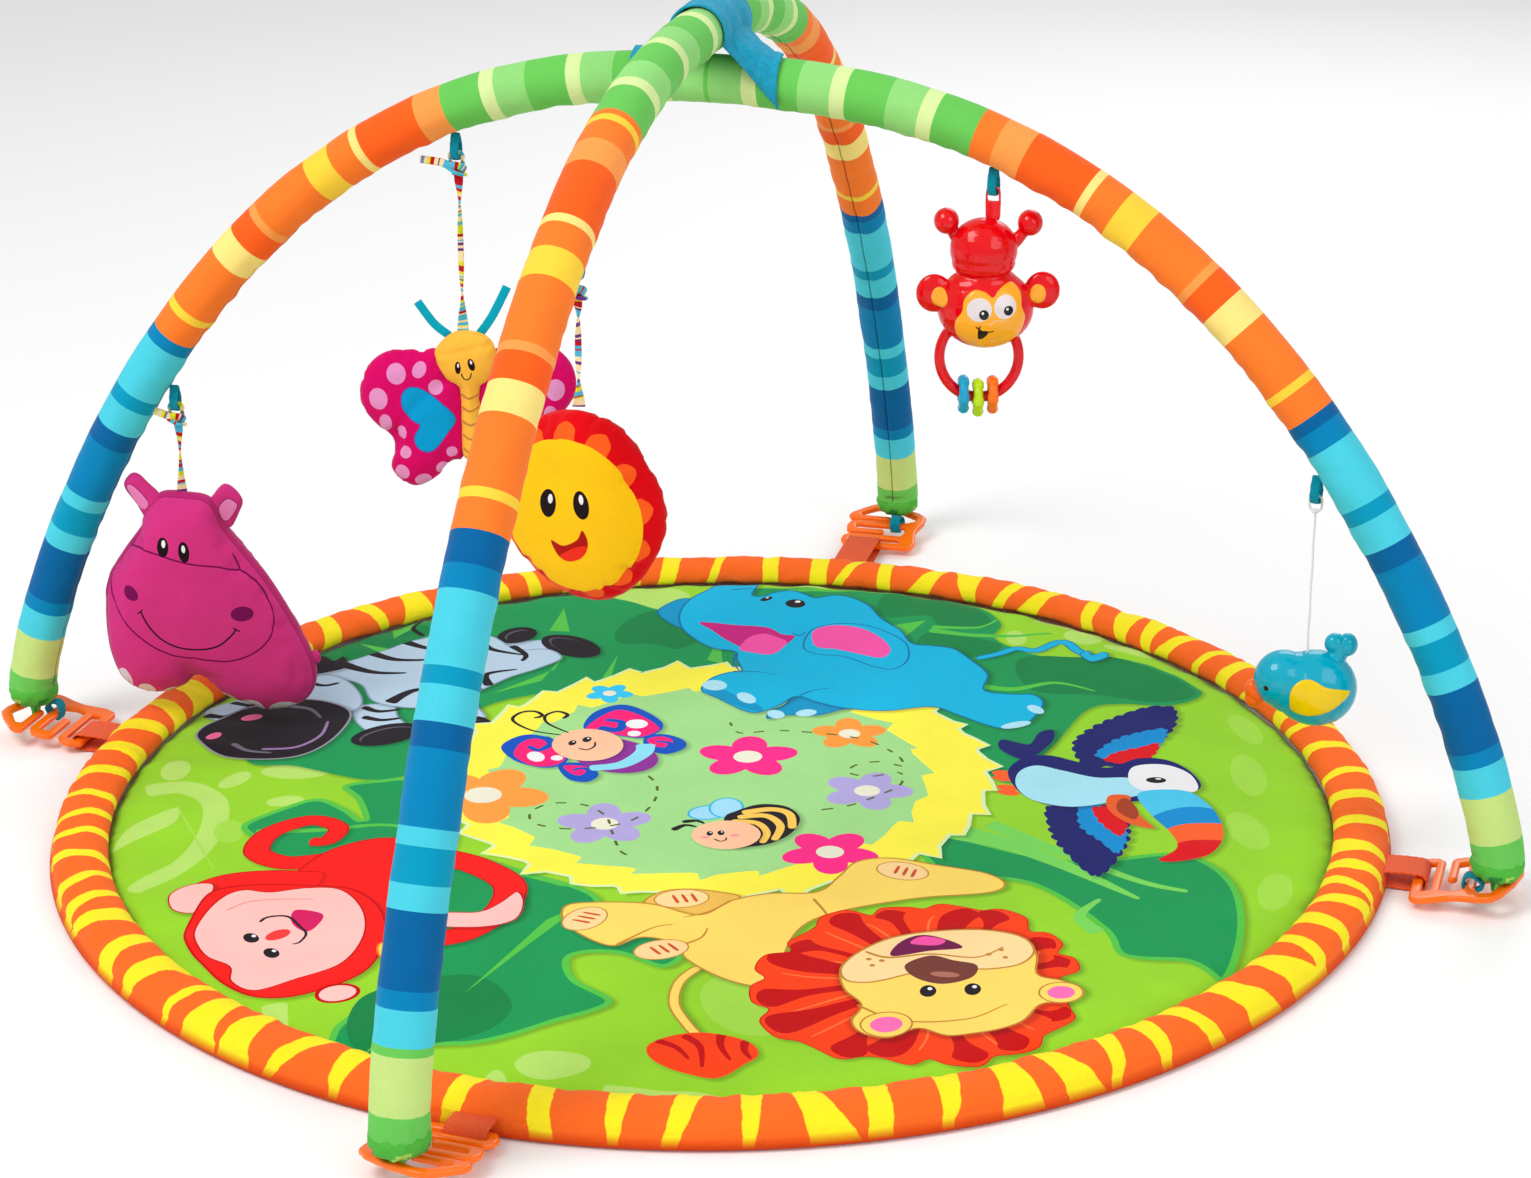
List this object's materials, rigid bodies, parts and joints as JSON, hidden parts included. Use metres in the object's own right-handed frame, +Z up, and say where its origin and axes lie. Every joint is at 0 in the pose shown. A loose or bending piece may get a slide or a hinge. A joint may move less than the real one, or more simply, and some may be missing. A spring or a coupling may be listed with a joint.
{
  "type": "activity play gym",
  "caption": "Baby play gym: round padded mat with a stuffed rim, two crossing padded arches hooked to it by plastic links, and hanging soft and rattle toys.",
  "frame": {"origin": "on the floor under the middle of the bounding box", "axes": "+Z up; +X from the hippo leg to the bird leg; +Y from the spare-loop leg to the far leg"},
  "size_m": [1.0738, 1.1029, 0.5505],
  "materials": {
    "mat_print": "printed woven cotton, matte",
    "mat_lining": "plain woven polyester, matte",
    "batting": "polyester wadding, matte",
    "rim_print": "printed plush, matte",
    "sleeve_print": "printed knitted fabric, matte",
    "foam": "closed-cell foam tube, matte",
    "rod": "pultruded glass-fibre rod, satin",
    "ferrule": "bare tube, satin",
    "cuff": "gathered knitted fabric, matte",
    "webbing": "ribbed webbing, matte",
    "link_plastic": "moulded, glossy",
    "terry_teal": "terry cloth, matte",
    "terry_sky": "terry cloth, matte",
    "strap_weave": "woven striped tape, matte",
    "hippo_plush": "velour, matte",
    "butterfly_plush": "velour, matte",
    "wing_print": "printed plush, matte",
    "antenna_tape": "woven tape, matte",
    "sun_print": "printed plush, matte",
    "rattle_red": "moulded, glossy",
    "rattle_amber": "moulded, glossy",
    "ring_cyan": "moulded, glossy",
    "ring_lime": "moulded, glossy",
    "ring_orange": "moulded, glossy",
    "bird_cyan": "moulded, glossy",
    "white_plastic": "moulded, satin",
    "cord_white": "braided cord, matte"
  },
  "bodies": {
    "gym": {"mat_backing": "mat_lining", "mat_batting": "batting", "mat_top": "mat_print", "mat_rim": "rim_print", "tab_left": "webbing", "link_left": "link_plastic", "foot_left": "cuff", "foot_loop_left": "terry_teal", "tab_right": "webbing", "link_right": "link_plastic", "foot_right": "cuff", "foot_loop_right": "terry_teal", "tab_front": "webbing", "link_front": "link_plastic", "foot_front": "cuff", "foot_loop_front": "terry_teal", "tab_back": "webbing", "link_back": "link_plastic", "foot_back": "cuff", "foot_loop_back": "terry_teal", "arch_a_sleeve": "sleeve_print", "arch_a_foam": "foam", "arch_a_rod_left": "rod", "arch_a_rod_right": "rod", "arch_a_ferrule": "ferrule", "arch_b_sleeve": "sleeve_print", "arch_b_foam": "foam", "arch_b_rod_front": "rod", "arch_b_rod_back": "rod", "arch_b_ferrule": "ferrule", "crossing_wrap": "terry_sky", "toy_loop_hippo": "terry_teal", "toy_loop_butterfly": "terry_teal", "toy_loop_sun": "terry_teal", "toy_loop_spare": "terry_teal", "toy_loop_monkey": "terry_teal", "toy_loop_bird": "terry_teal"},
    "hippo": {"hippo_strap": "strap_weave", "hippo_body": "hippo_plush"},
    "butterfly": {"butterfly_strap": "strap_weave", "butterfly_body": "butterfly_plush", "butterfly_wing_left": "wing_print", "butterfly_wing_right": "wing_print", "butterfly_feelers": "antenna_tape"},
    "sun": {"sun_strap": "strap_weave", "sun_body": "sun_print"},
    "monkey": {"monkey_clip": "rattle_red", "monkey_front": "rattle_red", "monkey_back": "rattle_red", "monkey_face": "rattle_amber", "monkey_bead_1": "white_plastic", "monkey_bead_2": "white_plastic"},
    "ring_cyan": {"rattle_ring_cyan": "ring_cyan"},
    "ring_lime": {"rattle_ring_lime": "ring_lime"},
    "ring_orange": {"rattle_ring_orange": "ring_orange"},
    "bird_hanger": {"bird_stopper": "white_plastic", "bird_cord": "cord_white"},
    "bird": {"bird_front": "bird_cyan", "bird_back": "bird_cyan"},
    "bird_spool": {"bird_spool": "white_plastic"}
  },
  "joints": [
    {"name": "hippo_swing", "type": "hinge", "parent": "gym", "child": "hippo", "pos_m": [-0.40234, -0.00227, 0.24976], "axis": [0.987, 0.1606, 0], "range_deg": [-45, 45]},
    {"name": "butterfly_swing", "type": "hinge", "parent": "gym", "child": "butterfly", "pos_m": [-0.19572, 0.02121, 0.43553], "axis": [0.9972, 0.0743, 0], "range_deg": [-45, 45]},
    {"name": "sun_swing", "type": "hinge", "parent": "gym", "child": "sun", "pos_m": [-0.02268, -0.23806, 0.43366], "axis": [0.0209, 0.9998, 0], "range_deg": [-45, 45]},
    {"name": "monkey_swing", "type": "hinge", "parent": "gym", "child": "monkey", "pos_m": [0.17084, 0.01902, 0.43542], "axis": [-0.9958, 0.0917, 0], "range_deg": [-45, 45]},
    {"name": "bird_swing", "type": "hinge", "parent": "gym", "child": "bird_hanger", "pos_m": [0.38921, -0.01149, 0.25705], "axis": [-0.9809, 0.1944, 0], "range_deg": [-45, 45]},
    {"name": "ring_cyan_spin", "type": "hinge", "parent": "monkey", "child": "ring_cyan", "pos_m": [0.15434, 0.0146, 0.29769], "axis": [0.9659, 0.2588, 0], "continuous": true},
    {"name": "ring_lime_spin", "type": "hinge", "parent": "monkey", "child": "ring_lime", "pos_m": [0.16353, 0.01706, 0.29539], "axis": [0.9659, 0.2588, 0], "continuous": true},
    {"name": "ring_orange_spin", "type": "hinge", "parent": "monkey", "child": "ring_orange", "pos_m": [0.17273, 0.01953, 0.29744], "axis": [0.9659, 0.2588, 0], "continuous": true},
    {"name": "bird_pull", "type": "slide", "parent": "bird_hanger", "child": "bird", "axis": [0, 0, 1], "range_m": [0, 0.055], "deforming": ["bird_cord"]},
    {"name": "spool_turn", "type": "hinge", "parent": "bird", "child": "bird_spool", "pos_m": [0.38921, -0.01149, 0.12724], "axis": [0.2588, -0.9659, 0], "range_deg": [0, 705]}
  ],
  "couplings": [
    {"joint": "spool_turn", "follows": "bird_pull", "rad_per_m": 222.22}
  ]
}
